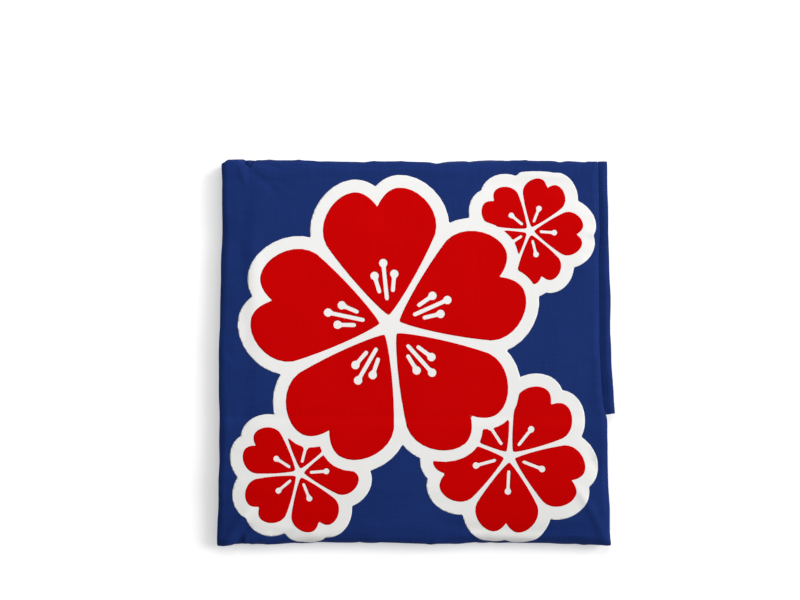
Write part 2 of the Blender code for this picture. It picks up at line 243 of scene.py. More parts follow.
def face_relief(x, y):
    """The creases of the face and the end folds, and the belt and the sleeves' hems showing through."""
    inset = side_inset(x, y)
    inside = eased(inset / SIDE_FADE)
    shown = BELT_STEP * between(y, *BELT_SHOWS) - HEM_DIP * near(y - HEM_SHOWS, HEM_HALF_WIDTH)
    line = PRESSED_LINE * near(inset - PRESSED_LINE_IN, PRESSED_LINE_WIDTH)
    creased = mix(CREASE_AT_SIDE, 1.0, inside) * raised(x, y, CREASES)
    return (inside * shown + creased + line) * eased((CREASE_END - np.abs(y)) / CREASE_FADE)


def under_relief(x, y):
    """The underside's creases. The edge of the neck is pulled up a little by its stitching."""
    from_neck = np.abs(y - neck_edge(x) - NECK_STITCH_IN)
    pulled = np.where(y > 0, np.clip(1 - from_neck / NECK_PULL_REACH, 0, 1) ** 2, 0)
    return between(np.abs(y), *UNDER_RANGE) * raised(x, y, UNDER_CREASES) + NECK_PULL * pulled


def ripple(at, long, short, shift=0.0, short_shift=0.0):
    """What makes a fold uneven: a long wave and a weaker short one, their lengths in mm."""
    return np.sin(at / (long * MM) + shift) + SHORT_WAVE * np.sin(at / (short * MM) + short_shift)


def beat(amount, at, short, long, shift):
    """A wave that comes and goes along a longer one, their lengths in mm."""
    return amount * np.sin(at / (short * MM)) * np.sin(at / (long * MM) + shift)


def waver(x, shift):
    """How far a pressed end fold strays from its line."""
    return FOLD_WAVER * ripple(x, 13, 7.3, shift, 2.1 * shift)


def level_at(path):
    """How high on the block a place on the strip's path is."""
    return np.interp(path, PATH_STOPS, PATH_LEVELS)


def neck_edge(x):
    """The shoulder end in plan, with the neck cut into it."""
    return SHOULDER_END_Y + NECK_DROP * np.clip(1 - (x / NECK_HALF_WIDTH) ** 2, 0, 1)


def edge_line(column, x):
    """The line of the bottom or the top edge at x, its corners eased."""
    nudges = (-EDGES_EASE, 0, EDGES_EASE)
    return np.mean([np.interp(x + nudge, EDGES[:, 0], EDGES[:, column]) for nudge in nudges], axis=0)


def bottom_fold(x):
    """Radius and axis height of the fold at the bottom edge."""
    radius = block_height(x, 0 * x - FLAT_Y) / 2
    return radius, edge_line(1, x) + radius


def top_fold(x):
    """The same at the top edge."""
    radius = block_height(x, 0 * x + FLAT_Y) / 2
    return radius, edge_line(2, x) - radius


def pressed(t, press):
    """A pressed fold's profile, from 0 to 1 round it: how far out, and how far from its first side."""
    angle = np.pi * t
    out = np.clip(np.sin(angle), 0, 1) ** press
    return out, 1 - np.sign(np.cos(angle)) * np.abs(np.cos(angle)) ** press


def side_form(y):
    """How sharp the side folds are at y, how far they reach in, and how far they sway."""
    corner = eased(1 - (EDGE_Y - np.abs(y)) / CORNER_PRESS_REACH)
    sway = SIDE_SWAY * ripple(y, 14.3, 6.1, 0.7)
    return mix(SIDE_PRESS, CORNER_PRESS, corner), mix(SIDE_REACH, 1.0, corner), sway * (1 - corner)


def strip_points(x, depth, path):
    """Points at x, that deep under the strip's outer face and that far along its path."""
    stage = np.clip(np.floor(path), SKIRT_END, SHOULDER_END)
    t = path - stage
    turn = STRIP - depth
    press = np.where(stage < FACE, BOTTOM_PRESS, TOP_PRESS)
    press = press + beat(END_PRESS_SHIFT, x, 15.7, 37, 0.8)
    out, over = pressed(t, press)
    sway = END_SWAY * ripple(x, 17.3, 7.9, 0.9) * np.sin(np.pi * t) ** 2
    low_radius, low_axis = bottom_fold(x)
    high_radius, high_axis = top_fold(x)
    # The skirt end, turned up a quarter round, and the underside from there to the bottom fold.
    up = np.pi / 2 * (1 - t)
    y_skirt_end = SKIRT_END_Y - STRIP - END_EASE + (turn + END_EASE) * np.sin(up)
    z_skirt_end = STRIP - turn * np.cos(up)
    y_skirt = mix(SKIRT_END_Y - STRIP - END_EASE, low_axis, t)
    z_skirt = depth + under_relief(x, y_skirt)
    # The bottom fold, the face and the top fold.
    y_bottom = low_axis - (low_radius - depth + waver(x, 0.4)) * out
    z_bottom = low_radius - (low_radius - depth) * (1 - over) + sway
    y_face = mix(low_axis, high_axis, t)
    z_face = block_height(x, y_face) - depth
    y_top = high_axis + (high_radius - depth + waver(x, 2.0)) * out
    z_top = high_radius + (high_radius - depth) * (1 - over) - sway
    # The underside from the top fold to the shoulder end, which is turned up too, except flat in the neck.
    end_axis = neck_edge(x) + STRIP + END_EASE
    y_shoulder = mix(high_axis, end_axis, t)
    z_shoulder = depth + under_relief(x, y_shoulder)
    in_neck = 1 - eased((np.abs(x) - NECK_SIDE) / (NECK_HALF_WIDTH - NECK_SIDE))
    sweep = np.sin(np.pi / 2 * t)
    y_shoulder_end = end_axis - mix(turn + END_EASE, STRIP + END_EASE, in_neck) * sweep
    z_shoulder_end = mix(
        STRIP - turn * np.cos(np.pi / 2 * t), depth + under_relief(x, y_shoulder_end), in_neck)
    y = by_stage(stage, [y_skirt_end, y_skirt, y_bottom, y_face, y_top, y_shoulder, y_shoulder_end])
    z = by_stage(stage, [z_skirt_end, z_skirt, z_bottom, z_face, z_top, z_shoulder, z_shoulder_end])
    # The creases lift the cloth off the block, on the face and round the end folds.
    tilt = np.where(stage == BOTTOM, np.pi * (t - 1), np.where(stage == TOP, np.pi * t, 0.0))
    on_cloth = np.where(stage == BOTTOM, low_axis, np.where(stage == TOP, high_axis, y_face))
    on_cloth = on_cloth + tilt * np.where(stage == BOTTOM, low_radius, high_radius)
    lift = face_relief(x, on_cloth) * (1 - np.clip(depth, 0, CREASE_DEPTH) / CREASE_DEPTH)
    lift = np.where((stage >= BOTTOM) & (stage <= TOP), lift, 0.0)
    y, z = y + lift * np.sin(tilt), np.maximum(z + lift * np.cos(tilt), depth)
    # The side folds wander a little, and the corners are pulled out to their points.
    at_side = 1 - eased(side_inset(x, y) / SIDE_WANDER_REACH)
    x = x + SIDE_WANDER * ripple(y, 8.3, 3.9, z / (2.1 * MM), -z / (1.3 * MM)) * at_side
    for corner_x, corner_y, out_x, out_y in CORNERS:
        pull = np.exp(-np.hypot(x - corner_x, y - corner_y) / CORNER_REACH)
        x, y = x + out_x * pull, y + out_y * pull
    return np.stack([x, y, z], axis=-1)


def stretch(*parts):
    """Even steps over a run of ranges, each given as start, end and number of steps."""
    steps = [np.linspace(start, end, count + 1)[:-1] for start, end, count in parts]
    return np.concatenate(steps + [[parts[-1][1]]])


def side_section(across, left, right, upper, lower, run, form):
    """Where a layer with its sides turned under lies: x and depth, from 0 to 5 across, a fold at 1 and 3."""
    press, reach, sway = form
    radius = (lower - upper) / 2
    stage = np.clip(np.floor(across), 0, 4)
    t = across - stage
    out, over = pressed(t, press)
    start, end = left + reach * radius, right - reach * radius
    x = by_stage(stage, [
        mix(left + run, start, t), start - reach * radius * out, mix(start, end, t),
        end + reach * radius * out, mix(end, right - run, t)])
    turn = radius * over + sway * out
    depth = by_stage(stage, [lower, lower - turn, upper, upper + turn, lower])
    return x, depth


def so_far(lengths):
    """How far along a line each of its points is, from the lengths between them."""
    return np.concatenate([[0.0], np.cumsum(lengths)])


def cloth(name, points, material, wall=CLOTH, flip=False):
    """A sheet over a grid of points, rows by columns, with a UV map of its flat size in metres."""
    rows, columns = points.shape[:2]
    bm = bmesh.new()
    bmesh.ops.create_grid(bm, x_segments=columns - 1, y_segments=rows - 1, size=1.0)
    places = [divmod(number, columns) for number in range(rows * columns)]
    across = so_far(np.linalg.norm(np.diff(points, axis=1), axis=2).mean(axis=0))
    along = so_far(np.linalg.norm(np.diff(points, axis=0), axis=2).mean(axis=1))
    for vert, place in zip(bm.verts, places):
        vert.co = points[place]
    weave_map = bm.loops.layers.uv.new("weave")
    for face in bm.faces:
        for loop in face.loops:
            row, column = places[loop.vert.index]
            loop[weave_map].uv = (across[column], along[row])
    if flip:
        bmesh.ops.reverse_faces(bm, faces=bm.faces[:])
    return piece_of(name, bm, material, wall)


def in_scene(name, data):
    """A new object in the scene, at the origin."""
    thing = bpy.data.objects.new(name, data)
    bpy.context.scene.collection.objects.link(thing)
    return thing


def shape_of(name, bm, material):
    """A smooth-shaded object from a bmesh."""
    mesh = bpy.data.meshes.new(name)
    bm.to_mesh(mesh)
    bm.free()
    mesh.materials.append(material)
    mesh.shade_smooth()
    return in_scene(name, mesh)


def piece_of(name, bm, material, wall=None):
    """A piece that rides on the coat's one body, any wall laid under its mesh."""
    piece = shape_of(name, bm, material)
    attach(piece, "root")
    if wall:
        skin = piece.modifiers.new("wall", "SOLIDIFY")
        skin.thickness, skin.offset = wall, -1.0
    return piece


def feed(tree, node, sockets):
    """Gives each named socket of a node its value, or a link from the output that feeds it."""
    for socket, value in sockets.items():
        if isinstance(value, bpy.types.NodeSocket):
            tree.links.new(value, node.inputs[socket])
        else:
            node.inputs[socket].default_value = value


def new_node(tree, kind, sockets, **settings):
    """A new shader node with its settings made and its sockets fed."""
    node = tree.nodes.new("ShaderNode" + kind)
    for setting, value in settings.items():
        setattr(node, setting, value)
    feed(tree, node, sockets)
    return node


def math_node(tree, operation, *values):
    """The output of a Math node with its sockets fed in order."""
    return new_node(tree, "Math", dict(enumerate(values)), operation=operation).outputs[0]


# Streaks where yarns are thicker or duller: how close together they are across and along a yarn.
STREAKS = (1600.0, 45.0)


def plain_weave():
    """A node group: the height of a plain weave over the weave map, and how its yarns vary."""
    group = bpy.data.node_groups.new("plain_weave", "ShaderNodeTree")
    for socket, way in (("Yarn pitch", "INPUT"), ("Height", "OUTPUT"), ("Streaks", "OUTPUT")):
        group.interface.new_socket(socket, in_out=way, socket_type="NodeSocketFloat")
    given, made = group.nodes.new("NodeGroupInput"), group.nodes.new("NodeGroupOutput")
    place = new_node(group, "UVMap", {}, uv_map="weave").outputs["UV"]
    split = new_node(group, "SeparateXYZ", {0: place})
    wave_number = math_node(group, "DIVIDE", math.pi, given.outputs["Yarn pitch"])
    yarns, streaks = [], []
    for axis, scale in (("X", (*STREAKS, 1.0)), ("Y", (*STREAKS[::-1], 1.0))):
        yarns.append(math_node(group, "SINE", math_node(group, "MULTIPLY", split.outputs[axis], wave_number)))
        spread = new_node(group, "Mapping", {"Vector": place, "Scale": scale})
        noise = new_node(group, "TexNoise", {"Vector": spread.outputs[0], "Scale": 1.0, "Detail": 2.0})
        streaks.append(noise.outputs["Fac"])
    feed(group, made, {
        "Height": math_node(group, "MULTIPLY", *yarns),
        "Streaks": math_node(group, "MULTIPLY", math_node(group, "ADD", *streaks), 0.5),
    })
    return group


WEAVE = plain_weave()
YARN_PITCH = 0.4 * MM
# Broader changes of shade, how much they count beside the streaks, and the range of both together.
CLOUDS, CLOUD_SHARE, SHADE_FROM, SHADE_TO = 38.0, 0.45, 0.48, 0.96
# Fine crinkles, how much they count beside the yarns, and the depth of both.
CRINKLES, CRINKLE_SHARE, RELIEF_DEPTH = 130.0, 9.0, 0.05 * MM
GLOSS_SPREAD = 0.05
BLUE_SHEEN = (0.35, 0.5, 1.0, 1.0)


def woven(name, dark, light, roughness, sheen, bump, pitch=YARN_PITCH, ior=1.06, sheen_tint=BLUE_SHEEN):
    """A woven cloth: its yarns vary between two shades, with broader clouds over them."""
    material = bpy.data.materials.new(name)
    material.use_nodes = True
    tree = material.node_tree
    weave = new_node(tree, "Group", {"Yarn pitch": pitch}, node_tree=WEAVE)
    place = new_node(tree, "TexCoord", {}).outputs["Object"]
    clouds = new_node(tree, "TexNoise", {"Vector": place, "Scale": CLOUDS, "Detail": 3.0})
    amount = math_node(tree, "MULTIPLY_ADD", clouds.outputs["Fac"], CLOUD_SHARE, weave.outputs["Streaks"])
    spread = new_node(tree, "MapRange", {"Value": amount, "From Min": SHADE_FROM, "From Max": SHADE_TO})
    shade = new_node(tree, "Mix", {"A": (*dark, 1.0), "B": (*light, 1.0), "Factor": spread.outputs["Result"]},
                     data_type="RGBA")
    gloss = new_node(tree, "MapRange", {"Value": weave.outputs["Streaks"], "To Min": roughness + GLOSS_SPREAD,
                                        "To Max": roughness - GLOSS_SPREAD})
    crinkle = new_node(tree, "TexNoise", {"Vector": place, "Scale": CRINKLES, "Detail": 2.0})
    height = math_node(tree, "MULTIPLY_ADD", crinkle.outputs["Fac"], CRINKLE_SHARE, weave.outputs["Height"])
    relief = new_node(tree, "Bump", {"Height": height, "Strength": bump, "Distance": RELIEF_DEPTH})
    feed(tree, tree.nodes["Principled BSDF"], {
        "Base Color": shade.outputs["Result"], "Roughness": gloss.outputs["Result"],
        "Normal": relief.outputs["Normal"], "IOR": ior,
        "Sheen Weight": sheen, "Sheen Roughness": 0.4, "Sheen Tint": sheen_tint,
    })
    return material


CREASES = np.concatenate([FACE_CREASES, small_creases()])
BLUE_CLOTH = woven("blue_polyester", (0.008, 0.0225, 0.112), (0.012, 0.031, 0.15), 0.6, 0.04, 0.5)

# Steps of the mesh: smallest at the folds, and at the small pleat in the top edge.
back_across = stretch(
    (0, 1, 5), (1, 2, 14), (2, 2.03, 6), (2.03, 2.08, 20), (2.08, 2.1, 4), (2.1, 2.9, 90), (2.9, 3, 20),
    (3, 4, 14), (4, 5, 5))
back_along = stretch(
    (0, 1, 4), (1, 2, 20), (2, 3, 24), (3, 3.95, 119), (3.95, 4, 10), (4, 4.4, 16), (4.4, 5, 14), (5, 6, 24),
    (6, 7, 4))
back_level = level_at(back_along)[:, None]
# The folds of the strip are thinner in some places than in others.
back_strip = STRIP * (1 - STRIP_THINNER + beat(STRIP_THINNER, back_level, 9.7, 23, 1.2))
back_x, back_depth = side_section(back_across[None, :], outline(LEFT, back_level), outline(RIGHT, back_level),
                                  0.0, back_strip, TURNED_UNDER, side_form(back_level))
back_points = strip_points(back_x, back_depth, back_along[:, None])
back = cloth("back_cloth", back_points, BLUE_CLOTH)
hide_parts("back")


# --------------------
# The print on the back: flower heads in red with a broad white outline. Two films of ink are pressed on to
# the cloth with heat, the white one first and right under the red. It follows every fold of the cloth.

# Each flower head, a later one on top: its middle and a petal's length, in mm, and its turn in degrees.
FLOWERS = ((62, 67, 29, 50), (-64, -65, 32, -14), (50, -56, 41, 33), (-15, 15, 75, 6))
PETALS = 5
# Widths of the white outline, and of the white between a flower and those under it.
STROKE, OVER_STROKE = 7.0, 6.0
# Stamens: turn from the petal's middle, start and end along it. Small flowers have the first alone.
STAMENS = ((0, 0.20, 0.46), (-11, 0.26, 0.38), (11, 0.26, 0.38))
BIG_PETAL = 50.0
# Half width of a stamen, the share of the petal's length added to it, and its tip's size beside it.
STAMEN_WIDTH, STAMEN_GROWTH, STAMEN_TIP = 0.55, 0.0075, 2.1
# The films' grid of 1 mm: its columns, rows and middle, and the least share of an edge that a cut leaves.
FILM_COLUMNS, FILM_ROWS, FILM_X, FILM_Y, LEAST_SHARE = 206, 210, -3, -1, 0.02
FAR_OFF = 1000.0
# Top and bottom of the two films over the face of the cloth, which the white one sinks into.
WHITE_TOP, WHITE_LOW = 0.10 * MM, -0.10 * MM
RED_TOP, RED_LOW = 0.17 * MM, 0.05 * MM


def petal_side(start, pull_1, pull_2, end, steps=9):
    """Points along one curve of a petal's edge."""
    t = np.arange(steps)[:, None] / steps
    start, pull_1, pull_2, end = (np.array(point) for point in (start, pull_1, pull_2, end))
    return ((1 - t) ** 3 * start + 3 * (1 - t) ** 2 * t * pull_1
            + 3 * (1 - t) * t * t * pull_2 + t ** 3 * end)


def petal_edge():
    """A petal of length 1 that points up from the middle of its flower, with a notch in its tip."""
    side = np.concatenate([
        petal_side((0, 0.075), (0.05, 0.11), (0.25, 0.36), (0.40, 0.63)),
        petal_side((0.40, 0.63), (0.47, 0.80), (0.31, 1.0), (0.165, 1.0)),
        petal_side((0.165, 1.0), (0.10, 1.0), (0.04, 0.95), (0, 0.875)),
        np.array([[0, 0.875]]),
    ])
    return np.concatenate([side, side[-2:0:-1] * (-1, 1)])


def turned(points, degrees):
    """Points turned to the left round the middle of their flower."""
    a = math.radians(degrees)
    return points @ np.array([[math.cos(a), math.sin(a)], [-math.sin(a), math.cos(a)]])


def from_line(x, y, start, end):
    """Distance from a straight line between two points."""
    dx, dy = end - start
    t = np.clip(((x - start[0]) * dx + (y - start[1]) * dy) / (dx * dx + dy * dy), 0, 1)
    return np.hypot(x - start[0] - t * dx, y - start[1] - t * dy)


def from_edge(x, y, edge):
    """Distance from a closed edge, below 0 inside it, worked out only near it."""
    found = np.full(x.shape, FAR_OFF)
    low, high = edge.min(axis=0) - 2 * STROKE, edge.max(axis=0) + 2 * STROKE
    close = (x > low[0]) & (x < high[0]) & (y > low[1]) & (y < high[1])
    xs, ys = x[close], y[close]
    distance, inside = np.full(xs.shape, FAR_OFF), np.zeros(xs.shape, bool)
    for start, end in zip(edge, np.roll(edge, -1, axis=0)):
        distance = np.minimum(distance, from_line(xs, ys, start, end))
        if start[1] != end[1]:
            level = (start[1] > ys) != (end[1] > ys)
            inside ^= level & (xs < start[0] + (ys - start[1]) / (end[1] - start[1]) * (end[0] - start[0]))
    found[close] = np.where(inside, -distance, distance)
    return found


def print_design(x, y):
    """How far outside the white and the red film each point is, in mm, below 0 inside."""
    petal = petal_edge()
    white, red = np.full(x.shape, FAR_OFF), np.full(x.shape, FAR_OFF)
    for middle_x, middle_y, size, turn in FLOWERS:
        middle = np.array([middle_x, middle_y])
        turns = [turn + 360 / PETALS * n for n in range(PETALS)]
        head = np.min([from_edge(x, y, turned(petal, way) * size + middle) for way in turns], axis=0)
        white = np.minimum(white, head - STROKE)
        red = np.maximum(red, OVER_STROKE - head)
        half_line = STAMEN_WIDTH + STAMEN_GROWTH * size
        for way in turns:
            for aside, start, end in STAMENS if size > BIG_PETAL else STAMENS[:1]:
                line = turned(np.array([[0, start], [0, end]]), way + aside) * size + middle
                stalk = from_line(x, y, line[0], line[1]) - half_line
                tip = np.hypot(x - line[1][0], y - line[1][1]) - STAMEN_TIP * half_line
                head = np.maximum(head, -np.minimum(stalk, tip))
        red = np.minimum(red, head)
    return white, red


def on_face(x, y, lift):
    """Points on the mesh of the back's face and round its bottom fold, lifted off it."""
    low_radius, low_axis = bottom_fold(x)
    _, high_axis = top_fold(x)
    path = np.where(y > low_axis, FACE + (y - low_axis) / (high_axis - low_axis),
                    FACE - (low_axis - y) / (math.pi * low_radius))
    level = level_at(path)
    press, reach, _ = side_form(level)
    reach = reach * np.interp(path, back_along, back_strip[:, 0]) / 2
    start, end = outline(LEFT, level) + reach, outline(RIGHT, level) - reach
    beyond = np.clip(np.maximum(start - x, x - end) / reach, 0, 1)
    turn = np.arcsin(beyond ** (1 / press)) / math.pi
    across = np.where(x < start, 2 - turn, np.where(x > end, 3 + turn, 2 + (x - start) / (end - start)))
    column = np.interp(across, back_across, np.arange(len(back_across)))
    row = np.interp(path, back_along, np.arange(len(back_along)))
    i, j = np.floor(row).astype(int), np.floor(column).astype(int)
    s, t = (row - i)[:, None], (column - j)[:, None]
    low = mix(back_points[i, j], back_points[i, j + 1], t)
    high = mix(back_points[i + 1, j], back_points[i + 1, j + 1], t)
    return mix(low, high, s) + strip_points(x, 0 * x - lift, path) - strip_points(x, 0 * x, path)


def film(name, distance_index, top, low, material):
    """A film of ink: a grid cut along the edge of its design and laid on the back."""
    bm = bmesh.new()
    bmesh.ops.create_grid(bm, x_segments=FILM_COLUMNS, y_segments=FILM_ROWS, size=1.0)
    for vert in bm.verts:
        vert.co.x = vert.co.x * FILM_COLUMNS / 2 + FILM_X
        vert.co.y = vert.co.y * FILM_ROWS / 2 + FILM_Y
    flat = np.array([v.co[:2] for v in bm.verts])
    distance = print_design(flat[:, 0], flat[:, 1])[distance_index]
    held = bm.verts.layers.float.new("distance")
    for vert, value in zip(bm.verts, distance):
        vert[held] = value
    crossed = [e for e in bm.edges if (e.verts[0][held] < 0) != (e.verts[1][held] < 0)]
    cut = []
    for edge in crossed:
        first, second = edge.verts
        share = first[held] / (first[held] - second[held])
        _, vert = bmesh.utils.edge_split(edge, first, np.clip(share, LEAST_SHARE, 1 - LEAST_SHARE))
        vert[held] = 0.0
        cut.append(vert)
    bmesh.ops.connect_verts(bm, verts=cut)
    outside = [f for f in bm.faces if sum(v[held] for v in f.verts) > 0]
    bmesh.ops.delete(bm, geom=outside, context="FACES")
    weave_map = bm.loops.layers.uv.new("weave")
    for face in bm.faces:
        for loop in face.loops:
            loop[weave_map].uv = (loop.vert.co.x * MM, loop.vert.co.y * MM)
    flat = MM * np.array([v.co[:2] for v in bm.verts])
    for vert, point in zip(bm.verts, on_face(flat[:, 0], flat[:, 1], top)):
        vert.co = point
    return piece_of(name, bm, material, top - low)


def ink(name, dark, light, roughness):
    """Printed ink: nearly even in colour, with the weave just showing through it."""
    return woven(name, dark, light, roughness, 0.0, 0.16, ior=1.05)


WHITE_INK = ink("white_ink", (0.765, 0.76, 0.746), (0.794, 0.789, 0.775), 0.56)
RED_INK = ink("red_ink", (0.475, 0.0003, 0.0005), (0.53, 0.0006, 0.0008), 0.54)

print_white = film("print_white", 0, WHITE_TOP, WHITE_LOW, WHITE_INK)
print_red = film("print_red", 1, RED_TOP, RED_LOW, RED_INK)


# --------------------
# The two fronts, of the same blue cloth as the back. Each lies flat inside the strip, turned back on itself
# at the side fold, and they meet at the middle.

FRONT_UPPER, FRONT_LOWER = 1.2 * MM, 2.4 * MM
FRONT_SET_BACK = 2.6 * MM
FRONT_OPENING = 2 * MM
# Where they start and stop on the path, on the underside, 33 mm below and 45 mm above the middle.
FRONT_START, FRONT_STOP = SKIRT_UNDER + 0.165, SHOULDER_UNDER + 0.6
RIGHT_SIDE, LEFT_SIDE = 1, -1
SIDE_NAMES = {LEFT_SIDE: "left", RIGHT_SIDE: "right"}


def one_side_section(across, edge, middle, upper, lower, form):
    """Where a layer folded over at one side lies: out to its fold above, round it from 1 to 2, and back."""
    press, reach, sway = form
    radius = (lower - upper) / 2
    stage = np.clip(np.floor(across), 0, 2)
    t = across - stage
    side = np.sign(edge)
    fold = np.abs(edge) - reach * radius
    out, over = pressed(t, press)
    x = by_stage(stage, [mix(middle, fold, t), fold + reach * radius * out, mix(fold, middle, t)])
    turn = radius * over + sway * out
    depth = by_stage(stage, [upper, upper + turn, lower])
    return side * x, depth


ROUND_FOLD = (1.0, 1.0, 0.0)
front_across = stretch((0, 0.85, 24), (0.85, 1, 8), (1, 2, 5), (2, 2.15, 8), (2.15, 3, 24))
front_along = stretch((FRONT_START, 2, 16), (2, 3, 10), (3, 4, 60), (4, 5, 10), (5, FRONT_STOP, 12))
front_level = level_at(front_along)[:, None]
for side, column in ((LEFT_SIDE, LEFT), (RIGHT_SIDE, RIGHT)):
    node = "front_" + SIDE_NAMES[side]
    edge = outline(column, front_level) - side * FRONT_SET_BACK
    front_x, front_depth = one_side_section(
        front_across[None, :], edge, FRONT_OPENING, FRONT_UPPER, FRONT_LOWER, ROUND_FOLD)
    front_points = strip_points(front_x, front_depth, front_along[:, None])
    cloth(node + "_cloth", front_points, BLUE_CLOTH, flip=side == LEFT_SIDE)
    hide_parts(node)


# --------------------
# The two sleeves, blue too, each folded over once inside the strip. The right one's fold stands out beyond
# the back, from the top edge down to its hem, which is turned in and stitched.

SLEEVE_UPPER, SLEEVE_LOWER = 3.9 * MM, 6.2 * MM
SLEEVES_APART = 3 * MM
HEM_TURN, HEM_ROUND = 0.55 * MM, 0.0014
# At its fold the hem slants: how far, and how far that reaches along the path and in from the fold.
HEM_SLANT, HEM_SLANT_REACH, HEM_SLANT_IN = 0.9 * MM, 0.04, 4 * MM
# On the path: the hem, the end of its turned-in part, and the sleeve's end on the underside.
HEM = FACE + 0.3277
HEM_END = HEM + 0.051
SLEEVE_STOP = SHOULDER_UNDER + 0.855
# Where the back's side ends, and how far short of the top edge the sleeve's fold beyond it stops.
BACK_ENDS, BACK_ENDS_OVER = -0.6 * MM, 0.8 * MM
SHORT_OF_TOP = -0.1 * MM
# Small kinks across the fold that stands out, in mm: where on it, half width and depth.
SLEEVE_KINKS = MM * np.array([
    (11, 1.6, 0.5), (-17.6, 1.4, 0.45), (52, 2.4, -0.3), (-4, 3, 0.3), (78, 2, 0.35),
])
KINK_IN = 6 * MM
# Its upper side swells along the fold and sinks under the back's edge, in mm: how far in, half width, height.
SLEEVE_SWELLS = MM * np.array([(2.2, 1.5, 0.28), (7.2, 2.8, -1.0)])


def sleeve_relief(x, y, depth, edge):
    """How far the kinks and swells raise the sleeve's fold that stands out on the right."""
    inward = edge - np.abs(x)
    total = 0 * y
    for kink_y, kink_width, kink_depth in SLEEVE_KINKS:
        kink = near(y - kink_y - 0.25 * (x - edge), kink_width)
        total = total - kink_depth * kink * near(inward, KINK_IN)
    above = np.clip((SLEEVE_LOWER - depth) / (SLEEVE_LOWER - SLEEVE_UPPER), 0, 1)
    for swell_in, swell_width, swell_height in SLEEVE_SWELLS:
        total = total + above * swell_height * near(inward - swell_in, swell_width)
    return total


sleeve_across = stretch(
    (0, 0.8, 18), (0.8, 0.93, 8), (0.93, 1, 12), (1, 2, 10), (2, 2.07, 12), (2.07, 2.2, 8), (2.2, 3, 18))
# Along it: the turned-in part, which lies inside the fold, the round of the hem, and the sleeve.
hem_turn = np.linspace(0, 1, 6)
turned_in = stretch((HEM_END, HEM, 5))[:-1]
sleeve_run = stretch((HEM, 4, 90), (4, 5, 20), (5, SLEEVE_STOP, 22))[1:]
sleeve_along = np.concatenate([turned_in, HEM - HEM_ROUND * np.sin(np.pi * hem_turn), sleeve_run])
sleeve_nest = np.concatenate([
    np.full(len(turned_in), HEM_TURN), HEM_TURN * (1 + np.cos(np.pi * hem_turn)) / 2,
    np.zeros(len(sleeve_run))])[:, None]
sleeve_level = level_at(sleeve_along)[:, None]
for side, column in ((LEFT_SIDE, SLEEVE_LEFT), (RIGHT_SIDE, SLEEVE_RIGHT)):
    node = "sleeve_" + SIDE_NAMES[side]
    edge = outline(column, sleeve_level) - side * sleeve_nest
    sleeve_x, sleeve_depth = one_side_section(
        sleeve_across[None, :], edge, SLEEVES_APART, SLEEVE_UPPER + sleeve_nest, SLEEVE_LOWER - sleeve_nest,
        side_form(sleeve_level))
    sleeve_points = strip_points(sleeve_x, sleeve_depth, sleeve_along[:, None])
    beyond = eased((sleeve_x - outline(RIGHT, sleeve_level) - BACK_ENDS) / BACK_ENDS_OVER)
    over_top, _ = pressed(np.clip(sleeve_along - TOP, 0, 1), TOP_PRESS)
    sleeve_points[..., 1] += (sleeve_depth - SHORT_OF_TOP) * beyond * over_top[:, None]
    at_hem = near(sleeve_along[:, None] - HEM, HEM_SLANT_REACH) * near(edge - np.abs(sleeve_x), HEM_SLANT_IN)
    sleeve_points[..., 1] += HEM_SLANT * at_hem
    sleeve_points[..., 2] += sleeve_relief(sleeve_x, sleeve_points[..., 1], sleeve_depth, edge)
    cloth(node + "_cloth", sleeve_points, BLUE_CLOTH, flip=side == LEFT_SIDE)
    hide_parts(node)


# --------------------
# The rest of the skirt, the same blue cloth, folded to and fro between the strip's upper and lower runs.
# Each run has its own sides turned under, which show as thin folds between the two.

# Start and end of each run, and the height it lies at, in mm.
RUN_ENDS, RUN_LEVELS = MM * np.array([(3, -96), (-96, 3), (3, -96)]), MM * np.array([4.3, 5.1, 5.9])
RUN_HALF_HEIGHT = 0.28 * MM
RUN_SET_BACK, RUN_TURNED_UNDER = 2 * MM, 12 * MM
RUN_SHIFT, RUN_SHIFT_LEVEL = 0.5 * MM, 0.31 * MM
RUN_WALL = 0.2 * MM


def to_and_fro(ends, levels, steps, turn_steps=5):
    """A path folded to and fro: place and height along it, and which way its upper side faces."""
    path = []
    for number, ((start, end), level) in enumerate(zip(ends, levels)):
        way = 1 if end > start else -1
        path += [(place, level, 0.0, way) for place in np.linspace(start, end, steps)]
        if number + 1 < len(levels):
            half = (levels[number + 1] - level) / 2
            for turn in np.pi * np.arange(1, turn_steps) / turn_steps:
                place = end + way * half * math.sin(turn)
                path.append((place, level + half - half * math.cos(turn), turn, way))
    return np.array(path)


runs = to_and_fro(RUN_ENDS, RUN_LEVELS, 26)
run_y, run_z, run_turn, run_way = (runs[:, i:i + 1] for i in range(4))
run_across = stretch((0, 1, 4), (1, 2, 5), (2, 3, 40), (3, 4, 5), (4, 5, 4))
run_shift = RUN_SHIFT * np.sin(run_z / RUN_SHIFT_LEVEL)
run_x, run_depth = side_section(
    run_across[None, :], outline(LEFT, run_y) + RUN_SET_BACK + run_shift,
    outline(RIGHT, run_y) - RUN_SET_BACK - run_shift,
    -RUN_HALF_HEIGHT, RUN_HALF_HEIGHT, RUN_TURNED_UNDER, ROUND_FOLD)
run_points = np.stack([
    run_x, run_y - run_way * np.sin(run_turn) * run_depth, run_z - np.cos(run_turn) * run_depth], axis=-1)
skirt_layers = cloth("skirt_layers_cloth", run_points, BLUE_CLOTH, wall=RUN_WALL, flip=True)
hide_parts("skirt_layers")


# --------------------
# The belt, a flat tube of black polyester twill 4 cm wide, folded to and fro six times into a flat bundle
# below the sleeves. Its folded ends show between the strip's runs at the sides.

BELT_LOW_Y, BELT_HIGH_Y = -76 * MM, -36 * MM
BELT_SWAY = 0.5 * MM
BELT_WALL = 0.26 * MM
